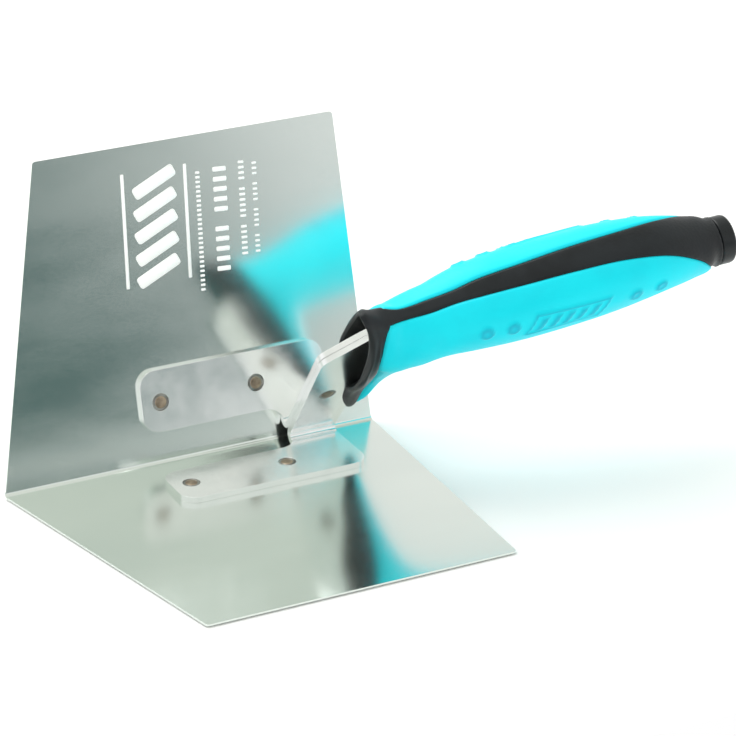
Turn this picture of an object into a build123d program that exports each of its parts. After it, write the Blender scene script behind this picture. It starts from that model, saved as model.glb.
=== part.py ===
"""Inside corner trowel: a folded steel blade, a riveted two-plate tang and a two-part moulded handle.

Every piece is drawn in the tool's own frame and then laid down as it rests on a bench:
  X runs along the fold from its front end, Y is zero on the plane that halves the fold,
  and Z leaves the fold, between the wings, on that plane.
The fold's outer corner, before it is rounded, is the line Y = Z = 0. All sizes are millimetres.
"""
from build123d import *
import math
import os

# Blade
SEAM_LENGTH = 127.0
WING_HEIGHT = 102.0
FOLD_ANGLE = 103.0
SHEET = 0.6
FOLD_RADIUS = 1.5
FRONT_RAKE = 22.0  # the free edge starts this far behind the fold's front end
REAR_RAKE = 3.0  # and stops this far ahead of its rear end
BLADE_CORNER = 1.2

# Tang plates: one flange riveted to each wing, two tang halves lying back to back
PLATE = 2.0
PLATE_BEND = 1.5
FLANGE_FRONT = 47.5
TANG_FRONT = 95.0
TANG_REAR = 111.0
FLANGE_LOW = 11.0
FLANGE_HIGH = 31.0
FLANGE_CORNER = 5.5
ROOT_FILLET = 6.0
TANG_CORNER = 5.5
NECK_LOW = (92.2, 53.0)
NECK_HIGH = (107.0, 66.6)
TONGUE_END_X = 152.0
TONGUE_END_TOP = 77.0
TONGUE_DEPTH = 12.0
TONGUE_HOLE_RADIUS = 3.0
TONGUE_HOLES = ((124.0, 66.5), (140.0, 69.5))

# Rivets
RIVET_RADIUS = 2.8
RIVET_CHAMFER = 0.3
RIVET_HEIGHT = 20.5  # up the wing from the fold
RIVETS_X = (54.0, 87.0)
TANG_RIVET_X = 101.0
TANG_RIVET_Z = 31.0

# Handle: station along the fold, height of its centre, half height, half width
HANDLE_STATIONS = (
    (108.0, 61.0, 13.0, 9.6),
    (124.0, 65.0, 12.0, 11.0),
    (146.0, 71.6, 13.1, 14.1),
    (170.0, 76.0, 14.3, 14.4),
    (196.0, 80.4, 12.8, 12.5),
    (221.6, 81.4, 7.8, 7.8),
)
BUTT_TILT = 6.0  # the butt's end face leans back by this much
CORE_SCALE = 0.72  # the hard core's section inside the soft grip
# Half widths of the black top stripe along the handle, and the lower edge of the black butt
STRIPE = ((100.0, 6.0), (107.0, 4.4), (113.0, 2.3), (130.0, 2.6), (170.0, 4.5), (190.0, 5.4), (206.0, 7.5))
BUTT_EDGE = ((200.0, 91.6), (210.0, 88.0), (217.0, 82.4), (224.0, 73.0))

# Nose: the hooded mouth round the tang and the finger guard below it
NOSE_FRONT = ((98.4, 79.2), (102.2, 72.0), (103.2, 60.0), (104.2, 48.0), (105.2, 36.0), (108.0, 25.5))
GUARD_TIP = ((110.6, 20.2), (114.4, 15.0), (117.6, 18.6))
NOSE_REAR = ((118.2, 28.0), (119.0, 40.0), (122.0, 49.0), (130.0, 58.0))
NOSE_TOP = ((116.0, 70.0), (111.0, 74.0), (105.0, 76.0), (99.4, 80.6))
NOSE_WIDTHS = (
    (14.8, 0.8),
    (17.4, 2.2),
    (24.0, 3.0),
    (33.0, 3.9),
    (42.0, 5.6),
    (50.0, 7.6),
    (58.0, 8.4),
    (66.0, 7.2),
    (72.0, 5.0),
    (77.0, 2.4),
    (81.0, 0.8),
)
MOUTH_WALL = 2.2
MOUTH_DEPTH = 4.5
MOUTH_LOW = 34.0
BLACK_EDGE = (
    (112.0, 86.0),
    (108.5, 76.0),
    (107.4, 68.0),
    (107.8, 60.0),
    (110.8, 50.5),
    (113.4, 43.0),
    (114.7, 33.0),
    (114.8, 22.0),
    (116.4, 10.0),
)

# Butt cap
CAP_RADIUS = 7.8
CAP_LENGTH = 5.4
CAP_ROUND = 1.2
CAP_GROOVE = 0.5
CAP_GROOVE_DEPTH = 0.9
STEM_RADIUS = 4.5
STEM_LENGTH = 16.0

HALF_FOLD = math.radians(FOLD_ANGLE / 2)
REST_TURN = 90 - FOLD_ANGLE / 2  # about X, lays the right wing flat on the bench
WIDE = 40.0  # reach of a cutting prism past the handle's sides
SIDES = {"left": 1, "right": -1}


def wing_plane(lift):
    """Plane of the left wing: X along the fold, Y up the wing, Z into the tool, lift above its outer face."""
    inward = Vector(0, -math.cos(HALF_FOLD), math.sin(HALF_FOLD))
    return Plane(origin=inward * lift, x_dir=(1, 0, 0), z_dir=inward)


def on_side(solid, side):
    """The left piece as it is, or its mirror image for the right."""
    return solid if side > 0 else mirror(solid, about=Plane.XZ)


def bend(centre, inner_radius, thickness, start, sweep, front, rear):
    """A stretch of bent plate along the fold, its section given in (Y, Z)."""
    inner = CenterArc(centre, inner_radius, start, sweep)
    outer = CenterArc(centre, inner_radius + thickness, start, sweep)
    section = make_face([inner, Line(inner @ 1, outer @ 1), outer, Line(outer @ 0, inner @ 0)])
    return extrude(Plane.YZ.offset(front) * section, amount=rear - front)


def side_prism(points, half_width):
    """A closed outline in (X, Z), carried across the tool to both sides."""
    outline = make_face(Polyline(*points, close=True))
    return extrude(Plane.XZ * outline, amount=half_width, both=True)


def up_the_wing(distance_in):
    """How far up the wing a bend that rolls on a face distance_in above the outer face becomes flat."""
    return distance_in / math.tan(HALF_FOLD)


def make_blade():
    """One sheet folded along X, each wing a trapezoid with slightly rounded free corners."""
    outer_radius = FOLD_RADIUS + SHEET
    fold_centre = outer_radius / math.sin(HALF_FOLD)
    fold = bend((0, fold_centre), FOLD_RADIUS, SHEET, -90 - REST_TURN, 2 * REST_TURN, 0, SEAM_LENGTH)
    flat_from = up_the_wing(outer_radius)
    rake_front = FRONT_RAKE / WING_HEIGHT
    rake_rear = REAR_RAKE / WING_HEIGHT
    outline = Polyline(
        (rake_front * flat_from, flat_from),
        (FRONT_RAKE, WING_HEIGHT),
        (SEAM_LENGTH - REAR_RAKE, WING_HEIGHT),
        (SEAM_LENGTH - rake_rear * flat_from, flat_from),
        close=True,
    )
    wing = make_face(outline)
    free_corners = wing.vertices().sort_by(Axis.Y)[-2:]
    wing = fillet(free_corners, BLADE_CORNER)
    left = extrude(wing_plane(0) * wing, amount=SHEET)
    blade = fold + left + mirror(left, about=Plane.XZ)
    for side in SIDES.values():
        for hole in wing_rivet_cores(side):
            blade -= hole
    return blade


def flange_outline(flat_from):
    """The strip on the wing and the root that joins it to the bend, in (X, up the wing)."""
    drop = FLANGE_LOW - flat_from
    run = math.sqrt(ROOT_FILLET**2 - (ROOT_FILLET - drop) ** 2)
    strip = Polyline(
        (TANG_FRONT - run, FLANGE_LOW),
        (FLANGE_FRONT, FLANGE_LOW),
        (FLANGE_FRONT, FLANGE_HIGH),
        (TANG_REAR, FLANGE_HIGH),
        (TANG_REAR, flat_from),
        (TANG_FRONT, flat_from),
    )
    root = RadiusArc((TANG_FRONT, flat_from), (TANG_FRONT - run, FLANGE_LOW), -ROOT_FILLET)
    face = make_face([strip, root])
    free = [v for v in face.vertices() if v.X < FLANGE_FRONT + 1 or v.Y > FLANGE_HIGH - 1]
    return fillet(free, FLANGE_CORNER)


def tang_outline(flat_from):
    """The half tang in (X, Z): blade, neck and the tongue that the handle is moulded on."""
    low_end = (TONGUE_END_X, TONGUE_END_TOP - TONGUE_DEPTH)
    face = make_face(
        Polyline(
            (TANG_FRONT, flat_from),
            NECK_LOW,
            NECK_HIGH,
            (TONGUE_END_X, TONGUE_END_TOP),
            low_end,
            (TANG_REAR, 56.0),
            (TANG_REAR, flat_from),
            close=True,
        )
    )
    turned = [v for v in face.vertices() if v.Y > flat_from + 1]
    face = fillet(turned, TANG_CORNER)
    for centre in TONGUE_HOLES:
        face -= Pos(*centre) * Circle(TONGUE_HOLE_RADIUS)
    return face


def make_bracket(side):
    """One plate: flange on the wing, bend beside the fold, and its half of the tang."""
    outer_radius = PLATE_BEND + PLATE
    centre_z = (SHEET + outer_radius + outer_radius * math.cos(HALF_FOLD)) / math.sin(HALF_FOLD)
    flat_from = outer_radius * math.sin(HALF_FOLD) + centre_z * math.cos(HALF_FOLD)
    turn = 180 - FOLD_ANGLE / 2
    roll = bend((outer_radius, centre_z), PLATE_BEND, PLATE, -180, turn, TANG_FRONT, TANG_REAR)
    flange = extrude(wing_plane(SHEET) * flange_outline(flat_from), amount=PLATE)
    tang = extrude(Plane.XZ * tang_outline(centre_z), amount=-PLATE)
    bracket = on_side(flange + roll + tang, side)
    for hole in wing_rivet_cores(side):
        bracket -= hole
    return bracket - tang_rivet_core()


def wing_rivet_core(side, x):
    """The full cylinder of a flush rivet, square to its wing, through sheet and flange."""
    core = extrude(wing_plane(0) * Pos(x, RIVET_HEIGHT) * Circle(RIVET_RADIUS), amount=SHEET + PLATE)
    return on_side(core, side)


def wing_rivet_cores(side):
    return [wing_rivet_core(side, x) for x in RIVETS_X]


def tang_rivet_core():
    """The cylinder through both tang halves."""
    return Pos(TANG_RIVET_X, 0, TANG_RIVET_Z) * Rot(90, 0, 0) * Cylinder(RIVET_RADIUS, 2 * PLATE)


def chamfered(core):
    """A rivet with the small chamfer that leaves a ring round each flush end."""
    return chamfer(core.edges().filter_by(GeomType.CIRCLE), RIVET_CHAMFER)


def handle_loft(scale):
    """The handle's smooth body through its stations, each an ellipse square to the centre line."""
    sections = []
    count = len(HANDLE_STATIONS)
    for index, (x, z, half_height, half_width) in enumerate(HANDLE_STATIONS):
        before = HANDLE_STATIONS[max(index - 1, 0)]
        after = HANDLE_STATIONS[min(index + 1, count - 1)]
        along = Vector(after[0] - before[0], 0, after[1] - before[1])
        plane = Plane(origin=(x, 0, z), x_dir=(0, 1, 0), z_dir=along) if index < count - 1 else cap_plane()
        sections.append(plane * Ellipse(half_width * scale, half_height * scale))
    return loft(sections)


def front_outline(shrink, low):
    """The nose seen from the front, in (Y, Z): wide at the mouth and narrow at the guard's tip."""
    kept = [(width - shrink, z) for z, width in NOSE_WIDTHS if z >= low and width > shrink]
    right = Spline(*kept)
    left = mirror(right, about=Plane.YZ)
    closing = [Line(right @ 0, left @ 0), Line(right @ 1, left @ 1)]
    return make_face([right, left] + closing)


def nose_block():
    """Hooded mouth and finger guard: the side outline crossed with the front outline."""
    side = make_face(
        [
            Spline(*NOSE_FRONT, GUARD_TIP[0]),
            ThreePointArc(*GUARD_TIP),
            Spline(GUARD_TIP[2], *NOSE_REAR),
            Line(NOSE_REAR[-1], NOSE_TOP[0]),
            Spline(*NOSE_TOP),
            Line(NOSE_TOP[-1], NOSE_FRONT[0]),
        ]
    )
    block = extrude(Plane.XZ * side, amount=WIDE, both=True)
    front = extrude(Plane.YZ.offset(NOSE_FRONT[0][0] - WIDE) * front_outline(0, 0), amount=3 * WIDE)
    return block & front


def mouth_recess():
    """The hollow behind the mouth's rim, where the tang goes in."""
    deep = Spline(*[(x + MOUTH_DEPTH, z) for x, z in NOSE_FRONT])
    ahead = NOSE_FRONT[0][0] - WIDE
    open_side = Polyline(deep @ 1, (ahead, NOSE_FRONT[-1][1]), (ahead, NOSE_FRONT[0][1]), deep @ 0)
    side = extrude(Plane.XZ * make_face([deep, open_side]), amount=WIDE, both=True)
    front = extrude(Plane.YZ.offset(ahead) * front_outline(MOUTH_WALL, MOUTH_LOW), amount=3 * WIDE)
    return side & front


def black_regions():
    """Prisms that hold all of the hard plastic that shows: nose, top stripe and butt."""
    front = side_prism((*BLACK_EDGE, (60, 10), (60, 84)), WIDE)
    upper = [(x, width) for x, width in STRIPE]
    lower = [(x, -width) for x, width in reversed(STRIPE)]
    stripe = extrude(make_face(Polyline(*upper, *lower, close=True)), amount=3 * WIDE)
    centres = [(x, z) for x, z, _, _ in HANDLE_STATIONS]
    upper_half = side_prism((*centres, (centres[-1][0], 3 * WIDE), (60, 3 * WIDE), (60, centres[0][1])), WIDE)
    butt = side_prism((*BUTT_EDGE, (230, 73), (230, 100), (200, 100)), WIDE)
    return front + (stripe & upper_half) + butt


def cap_plane(offset=0):
    """The butt's end face, Z along the cap."""
    x, z = HANDLE_STATIONS[-1][:2]
    tilt = math.radians(BUTT_TILT)
    return Plane(origin=(x, 0, z), x_dir=(0, 1, 0), z_dir=(math.cos(tilt), 0, math.sin(tilt))).offset(offset)


def make_butt_cap():
    """Smooth plug: a grooved shoulder, a rounded barrel, and a stem fixed in the core."""
    neck = Circle(CAP_RADIUS - CAP_GROOVE_DEPTH)
    cap = extrude(cap_plane() * neck, amount=CAP_GROOVE)
    barrel = extrude(cap_plane(CAP_GROOVE) * Circle(CAP_RADIUS), amount=CAP_LENGTH - CAP_GROOVE)
    rim = barrel.edges().filter_by(GeomType.CIRCLE).sort_by(Axis.X)[-1]
    return cap + fillet(rim, CAP_ROUND) + extrude(cap_plane() * Circle(STEM_RADIUS), amount=-STEM_LENGTH)


def make_handle(inserts):
    """The hard core and the soft grip over it, each hollowed where the inserts sit."""
    outer = handle_loft(1) + nose_block()
    core = (outer & black_regions()) + handle_loft(CORE_SCALE)
    grip = outer - core
    core -= mouth_recess()
    for insert in inserts:
        core -= insert
        grip -= insert
    return core, grip


def make_parts():
    """Every piece in the tool's frame, by node name."""
    brackets = {f"bracket_{name}": make_bracket(side) for name, side in SIDES.items()}
    cap = make_butt_cap()
    core, grip = make_handle([*brackets.values(), cap])
    parts = {"blade": make_blade(), **brackets}
    for name, side in SIDES.items():
        for place, x in zip(("front", "rear"), RIVETS_X):
            parts[f"rivet_{name}_{place}"] = chamfered(wing_rivet_core(side, x))
    parts["rivet_tang"] = chamfered(tang_rivet_core())
    parts["handle_core"] = core
    parts["soft_grip"] = grip
    parts["butt_cap"] = cap
    return parts


def lay_down(parts):
    """Turn the tool onto its right wing and put the origin under the middle of its box."""
    turned = {node: Rot(REST_TURN, 0, 0) * solid for node, solid in parts.items()}
    box = Compound(children=[Compound(solid.solids()) for solid in turned.values()]).bounding_box()
    under = Pos(-box.center().X, -box.center().Y, -box.min.Z)
    return {node: under * solid for node, solid in turned.items()}, box


def main():
    os.makedirs("parts", exist_ok=True)
    parts, box = lay_down(make_parts())
    for node, solid in parts.items():
        export_step(solid, f"parts/{node}.step")
    print("origin in the laid-down tool frame", box.center().X, box.center().Y, box.min.Z)
    print("overall size", box.size)


main()
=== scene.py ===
"""Looks of an inside corner trowel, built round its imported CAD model.

The folded blade, the riveted bracket and the two-tone handle are each made by
a class of their own. Sizes are millimetres in the tool's own frame: x runs back
along the fold, z runs up between the wings and y points to the left wing. One
transform lays everything down as the tool rests on its right wing.
"""

import logging
import math
from dataclasses import dataclass, field
from enum import Enum

import bmesh
import bpy
import numpy as np
from mathutils import Matrix, Vector


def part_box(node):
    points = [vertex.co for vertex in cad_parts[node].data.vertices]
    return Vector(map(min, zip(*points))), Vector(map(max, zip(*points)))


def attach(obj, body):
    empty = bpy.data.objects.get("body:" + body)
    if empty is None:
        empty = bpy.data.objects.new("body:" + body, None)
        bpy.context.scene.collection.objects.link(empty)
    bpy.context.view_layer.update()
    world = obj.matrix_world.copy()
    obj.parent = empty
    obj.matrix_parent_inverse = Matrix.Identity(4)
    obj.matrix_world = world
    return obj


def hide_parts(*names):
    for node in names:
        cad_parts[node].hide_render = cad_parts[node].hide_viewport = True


LOG = logging.getLogger("corner_trowel")
MM = 0.001
BODY = "root"

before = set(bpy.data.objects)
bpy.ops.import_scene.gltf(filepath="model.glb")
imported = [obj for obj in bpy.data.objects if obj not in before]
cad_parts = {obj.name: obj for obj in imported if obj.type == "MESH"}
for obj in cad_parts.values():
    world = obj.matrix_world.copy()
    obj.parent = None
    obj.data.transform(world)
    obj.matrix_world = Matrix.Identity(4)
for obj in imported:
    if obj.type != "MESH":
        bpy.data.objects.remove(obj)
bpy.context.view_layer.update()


# ---- Frame, pieces and small mesh helpers ----


@dataclass(frozen=True)
class RestFrame:
    """Where the tool lies: its own frame turned onto the right wing.

    Args:
        turn_deg: turn about the fold that lays the right wing flat.
        half_fold_deg: half of the angle between the two wings.
        wing_height: distance from the fold to a wing's free edge.
    """

    turn_deg: float = 38.5
    half_fold_deg: float = 51.5
    wing_height: float = 102.0

    def matrix(self) -> Matrix:
        """Gives the transform from tool millimetres to metres at rest.

        Returns:
            A four by four matrix for bmesh.ops.transform.
        """
        low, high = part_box("blade")
        lean = math.radians(self.half_fold_deg - self.turn_deg)
        fold_y = high.y - self.wing_height * MM * math.sin(lean)
        turn = Matrix.Rotation(math.radians(self.turn_deg), 4, "X")
        return Matrix.Translation((low.x, fold_y, 0.0)) @ turn @ Matrix.Scale(MM, 4)

    def wing(self, side: int, along: float, up: float, proud: float) -> Vector:
        """Gives a tool-frame point on a wing.

        Args:
            side: 1 for the left wing and -1 for the right.
            along: distance back along the fold.
            up: distance up the wing from the fold.
            proud: distance in from the wing's outer face.

        Returns:
            The point, in tool millimetres.
        """
        half = math.radians(self.half_fold_deg)
        y = up * math.sin(half) - proud * math.cos(half)
        return Vector((along, side * y, up * math.cos(half) + proud * math.sin(half)))

    def wing_axes(self, side: int) -> Matrix:
        """Gives a turn whose x runs along the fold, y up the wing and z inwards."""
        half = math.radians(self.half_fold_deg)
        up = Vector((0.0, side * math.sin(half), math.cos(half)))
        inwards = Vector((0.0, -side * math.cos(half), math.sin(half)))
        along = up.cross(inwards)
        return Matrix((along, up, inwards)).transposed().to_4x4()


REST = RestFrame()


class Slot(Enum):
    """The record's material slots."""

    BLADE = "blade_steel"
    PLATE = "plate_steel"
    RIVET = "rivet_steel"
    CORE = "core_plastic"
    GRIP = "grip_rubber"
    CAP = "cap_plastic"


def new_piece(
    name: str,
    mesh_work: bmesh.types.BMesh,
    materials: list[bpy.types.Material],
    replaces: tuple[str, ...] = (),
    laid: bool = False,
) -> bpy.types.Object:
    """Turns finished mesh work into a piece of the tool.

    Args:
        name: the piece's name.
        mesh_work: the finished bmesh, freed here.
        materials: finishes in the order of the faces' material numbers.
        replaces: CAD nodes that the piece stands for.
        laid: True if the mesh is in metres at rest already.

    Returns:
        The new object, riding on the tool's body.
    """
    if not laid:
        bmesh.ops.transform(mesh_work, matrix=REST.matrix(), verts=mesh_work.verts)
    for face in mesh_work.faces:
        face.smooth = True
    mesh = bpy.data.meshes.new(name)
    mesh_work.to_mesh(mesh)
    mesh_work.free()
    for material in materials:
        mesh.materials.append(material)
    piece = bpy.data.objects.new(name, mesh)
    bpy.context.scene.collection.objects.link(piece)
    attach(piece, BODY)
    if replaces:
        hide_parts(*replaces)
    LOG.info("%s: %d faces", name, len(mesh.polygons))
    return piece


def keep_flats(piece: bpy.types.Object, sharp_deg: float = 50.0) -> None:
    """Shades flats flat and rounded edges smooth.

    Args:
        piece: the object to finish.
        sharp_deg: edges that turn more than this stay sharp.
    """
    piece.data.set_sharp_from_angle(angle=math.radians(sharp_deg))
    weighted = piece.modifiers.new("even_flats", "WEIGHTED_NORMAL")
    weighted.keep_sharp = True
    weighted.weight = 80


def bend_sheet(rings: np.ndarray, inner_rows: int = 0) -> bmesh.types.BMesh:
    """Bends a grid over half rings and their mirror image.

    Args:
        rings: rings by places round, from the top line to the bottom line.
        inner_rows: number of rows of faces that take the second finish.

    Returns:
        The bent sheet, with its doubles merged.
    """
    half = rings.shape[1]
    rows, columns = len(rings), 2 * half - 1
    sheet = bmesh.new()
    bmesh.ops.create_grid(sheet, x_segments=rows - 1, y_segments=columns - 1, size=0.5)
    for face in sheet.faces:
        row = int((face.calc_center_median().x + 0.5) * (rows - 1))
        face.material_index = 1 if row < inner_rows else 0
    for vert in sheet.verts:
        row = round((vert.co.x + 0.5) * (rows - 1))
        column = round((vert.co.y + 0.5) * (columns - 1))
        x, y, z = rings[row, min(column, columns - 1 - column)]
        vert.co = (x, y if column < half else -y, z)
    bmesh.ops.remove_doubles(sheet, verts=sheet.verts, dist=0.004)
    return sheet


def turned(profile: list[tuple[float, float]], steps: int) -> bmesh.types.BMesh:
    """Spins a profile of (radius, height) about the z axis.

    Args:
        profile: points from the axis to the axis.
        steps: number of steps round the axis.

    Returns:
        The closed turned body.
    """
    body = bmesh.new()
    verts = [body.verts.new((radius, 0.0, height)) for radius, height in profile]
    edges = [body.edges.new(pair) for pair in zip(verts, verts[1:])]
    bmesh.ops.spin(
        body,
        geom=verts + edges,
        cent=(0.0, 0.0, 0.0),
        axis=(0.0, 0.0, 1.0),
        angle=math.tau,
        steps=steps,
        use_merge=True,
    )
    bmesh.ops.remove_doubles(body, verts=body.verts, dist=1e-4)
    bmesh.ops.recalc_face_normals(body, faces=body.faces)
    return body


def smoothstep(value: np.ndarray | float, low: float, high: float) -> np.ndarray:
    """Eases from nought to one between two limits."""
    share = np.clip((np.asarray(value, float) - low) / (high - low), 0.0, 1.0)
    return share * share * (3.0 - 2.0 * share)


# ---- Finishes ----


class Wiring:
    """A small hand for wiring a node tree.

    Args:
        tree: the node tree to work in.
    """

    def __init__(self, tree: bpy.types.NodeTree) -> None:
        """Keeps the tree."""
        self.tree = tree

    def add(self, kind: str, **values: object) -> bpy.types.Node:
        """Adds a node with its settings and its inputs.

        Args:
            kind: the node's type.
            values: settings by property name, and inputs as in_0 or in_Scale.

        Returns:
            The node.
        """
        node = self.tree.nodes.new(kind)
        for name, value in values.items():
            if not name.startswith("in_"):
                setattr(node, name, value)
        for name, value in values.items():
            if name.startswith("in_"):
                key = name[3:]
                socket = node.inputs[int(key)] if key.isdigit() else node.inputs[key]
                self.feed(socket, value)
        return node

    def feed(self, socket: bpy.types.NodeSocket, value: object) -> None:
        """Links an output to the socket, or sets its plain value."""
        if isinstance(value, bpy.types.NodeSocket):
            self.tree.links.new(value, socket)
        else:
            socket.default_value = value

    def math(self, operation: str, first: object, second: object) -> bpy.types.NodeSocket:
        """Gives the result of a Math node on two values."""
        node = self.add("ShaderNodeMath", operation=operation, in_0=first, in_1=second)
        return node.outputs[0]

    def ramp(
        self, value: object, low: float, high: float, start: float = 0.0, end: float = 1.0
    ) -> bpy.types.NodeSocket:
        """Gives a value eased from start to end as the input goes from low to high."""
        node = self.add(
            "ShaderNodeMapRange",
            interpolation_type="SMOOTHSTEP",
            in_0=value,
            in_1=low,
            in_2=high,
            in_3=start,
            in_4=end,
        )
        return node.outputs[0]

    def blend(self, share: object, first: object, second: object) -> bpy.types.NodeSocket:
        """Gives a colour between two colours."""
        node = self.add("ShaderNodeMix", data_type="RGBA")
        self.feed(node.inputs[0], share)
        self.feed(node.inputs[6], first)
        self.feed(node.inputs[7], second)
        return node.outputs[2]


def surface_group() -> bpy.types.NodeTree:
    """Builds the shared group of grain, clouding and fine scratches.

    Returns:
        A group with the inputs Vector, Grain, Cloud, Rough Low and Rough High,
        and the outputs Height, Clouding and Roughness.
    """
    name = "grain_and_clouding"
    if name in bpy.data.node_groups:
        return bpy.data.node_groups[name]
    tree = bpy.data.node_groups.new(name, "ShaderNodeTree")
    ports = tree.interface
    ports.new_socket("Vector", in_out="INPUT", socket_type="NodeSocketVector")
    for port in ("Grain", "Cloud", "Rough Low", "Rough High"):
        ports.new_socket(port, in_out="INPUT", socket_type="NodeSocketFloat")
    for port in ("Height", "Clouding", "Roughness"):
        ports.new_socket(port, in_out="OUTPUT", socket_type="NodeSocketFloat")
    hand = Wiring(tree)
    given = hand.add("NodeGroupInput")
    fine = hand.add("ShaderNodeTexNoise", in_Detail=3.0, in_Roughness=0.65)
    hand.feed(fine.inputs["Vector"], given.outputs["Vector"])
    hand.feed(fine.inputs["Scale"], given.outputs["Grain"])
    cloud = hand.add("ShaderNodeTexNoise", in_Detail=4.0, in_Roughness=0.55)
    hand.feed(cloud.inputs["Vector"], given.outputs["Vector"])
    hand.feed(cloud.inputs["Scale"], given.outputs["Cloud"])
    clouding = hand.ramp(cloud.outputs[0], 0.32, 0.68)
    mixed = hand.math("ADD", hand.math("MULTIPLY", clouding, 0.6), fine.outputs[0])
    share = hand.ramp(mixed, 0.35, 1.25)
    spread = hand.math("SUBTRACT", given.outputs["Rough High"], given.outputs["Rough Low"])
    rough = hand.math("MULTIPLY", share, spread)
    rough = hand.math("ADD", rough, given.outputs["Rough Low"])
    result = hand.add("NodeGroupOutput")
    hand.feed(result.inputs["Height"], fine.outputs[0])
    hand.feed(result.inputs["Clouding"], clouding)
    hand.feed(result.inputs["Roughness"], rough)
    return tree


@dataclass(frozen=True)
class Finish:
    """A procedural surface.

    Args:
        name: the material's name.
        light: colour where the clouding is strong.
        dark: colour where it is weak.
        metallic: nought or one.
        rough: lowest and highest roughness.
        grain: number of grains to a metre.
        cloud: number of clouds to a metre.
        stretch: how the pattern is scaled along each axis.
        bump: strength of the grain's bump.
        relief: depth of the grain's bump, in metres.
        specular: the specular level.
        painted_glow: strength of a painted glow, light the surface gives off though it is no
            lamp.
    """

    name: str
    light: tuple[float, float, float]
    dark: tuple[float, float, float]
    metallic: float = 0.0
    rough: tuple[float, float] = (0.4, 0.5)
    grain: float = 2000.0
    cloud: float = 40.0
    stretch: tuple[float, float, float] = (1.0, 1.0, 1.0)
    bump: float = 0.2
    relief: float = 0.00004
    specular: float = 0.5
    painted_glow: float = 0.0

    def extra(
        self, hand: Wiring, place: bpy.types.NodeSocket, height: bpy.types.NodeSocket
    ) -> bpy.types.NodeSocket:
        """Gives the height for the bump; a richer finish adds to it."""
        return height

    def colour(
        self, hand: Wiring, place: bpy.types.NodeSocket, clouding: bpy.types.NodeSocket
    ) -> bpy.types.NodeSocket:
        """Gives the base colour."""
        return hand.blend(clouding, (*self.dark, 1.0), (*self.light, 1.0))

    def build(self) -> bpy.types.Material:
        """Makes the material, or finds it if it is made already.

        Returns:
            The material.
        """
        if self.name in bpy.data.materials:
            return bpy.data.materials[self.name]
        material = bpy.data.materials.new(self.name)
        material.use_nodes = True
        hand = Wiring(material.node_tree)
        shader = material.node_tree.nodes["Principled BSDF"]
        place = hand.add("ShaderNodeTexCoord").outputs["Object"]
        scaled = hand.add("ShaderNodeMapping", in_Vector=place, in_Scale=self.stretch)
        group = hand.add("ShaderNodeGroup", node_tree=surface_group())
        hand.feed(group.inputs["Vector"], scaled.outputs[0])
        group.inputs["Grain"].default_value = self.grain
        group.inputs["Cloud"].default_value = self.cloud
        group.inputs["Rough Low"].default_value = self.rough[0]
        group.inputs["Rough High"].default_value = self.rough[1]
        colour = self.colour(hand, place, group.outputs["Clouding"])
        hand.feed(shader.inputs["Base Color"], colour)
        hand.feed(shader.inputs["Roughness"], group.outputs["Roughness"])
        bump = hand.add("ShaderNodeBump", in_Strength=self.bump, in_Distance=self.relief)
        height = self.extra(hand, place, group.outputs["Height"])
        hand.feed(bump.inputs["Height"], height)
        hand.feed(shader.inputs["Normal"], bump.outputs[0])
        shader.inputs["Metallic"].default_value = self.metallic
        shader.inputs["Specular IOR Level"].default_value = self.specular
        # Painted glow: the surface gives off its light colour at the painted glow's strength.
        shader.inputs["Emission Color"].default_value = (*self.light, 1.0)
        shader.inputs["Emission Strength"].default_value = self.painted_glow
        return material


@dataclass(frozen=True)
class Scratched(Finish):
    """A worn metal with fine scratches in two directions."""

    def extra(
        self, hand: Wiring, place: bpy.types.NodeSocket, height: bpy.types.NodeSocket
    ) -> bpy.types.NodeSocket:
        """Adds long thin scratches to the height."""
        total = height
        for turn, scale in ((0.5, 260.0), (-0.9, 190.0)):
            bent = hand.add(
                "ShaderNodeMapping",
                in_Vector=place,
                in_Rotation=(turn, turn * 0.7, turn),
                in_Scale=(scale * 0.02, scale * 3.0, scale * 3.0),
            )
            noise = hand.add("ShaderNodeTexNoise", in_Scale=1.0, in_Detail=2.0)
            hand.feed(noise.inputs["Vector"], bent.outputs[0])
            line = hand.ramp(noise.outputs[0], 0.67, 0.72, 0.0, -0.6)
            total = hand.math("ADD", total, line)
        return total


@dataclass(frozen=True)
class Moulded(Finish):
    """A moulded plastic that grows a leathery texture towards the butt.

    Args:
        from_x: where the texture begins, in metres.
        to_x: where it is fully there.
    """

    from_x: float = 0.05
    to_x: float = 0.075

    def extra(
        self, hand: Wiring, place: bpy.types.NodeSocket, height: bpy.types.NodeSocket
    ) -> bpy.types.NodeSocket:
        """Adds small cells to the height towards the butt."""
        split = hand.add("ShaderNodeSeparateXYZ", in_0=place)
        share = hand.ramp(split.outputs[0], self.from_x, self.to_x)
        cells = hand.add("ShaderNodeTexVoronoi", in_Vector=place, in_Scale=900.0)
        cell = hand.math("MULTIPLY", hand.math("MULTIPLY", cells.outputs[0], 2.4), share)
        return hand.math("ADD", height, cell)


@dataclass(frozen=True)
class Embossed(Finish):
    """A soft rubber whose raised marks get a painted shade: a deeper cyan stands in for their
    shading.

    Args:
        painted_shade_colour: the painted shade colour put on the raised marks.
        share_name: the mesh attribute that tells how raised a place is, and so how much painted
            shade it gets.
    """

    # Painted shade: the raised marks are darkened towards this cyan in place of their shading.
    painted_shade_colour: tuple[float, float, float] = (0.0, 0.56, 0.74)
    share_name: str = "relief_painted_shade"

    def colour(
        self, hand: Wiring, place: bpy.types.NodeSocket, clouding: bpy.types.NodeSocket
    ) -> bpy.types.NodeSocket:
        """Gives the base colour, with painted shade deepening it on the raised marks."""
        plain = hand.blend(clouding, (*self.dark, 1.0), (*self.light, 1.0))
        raised = hand.add("ShaderNodeAttribute", attribute_name=self.share_name)
        return hand.blend(raised.outputs["Fac"], plain, (*self.painted_shade_colour, 1.0))


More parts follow.
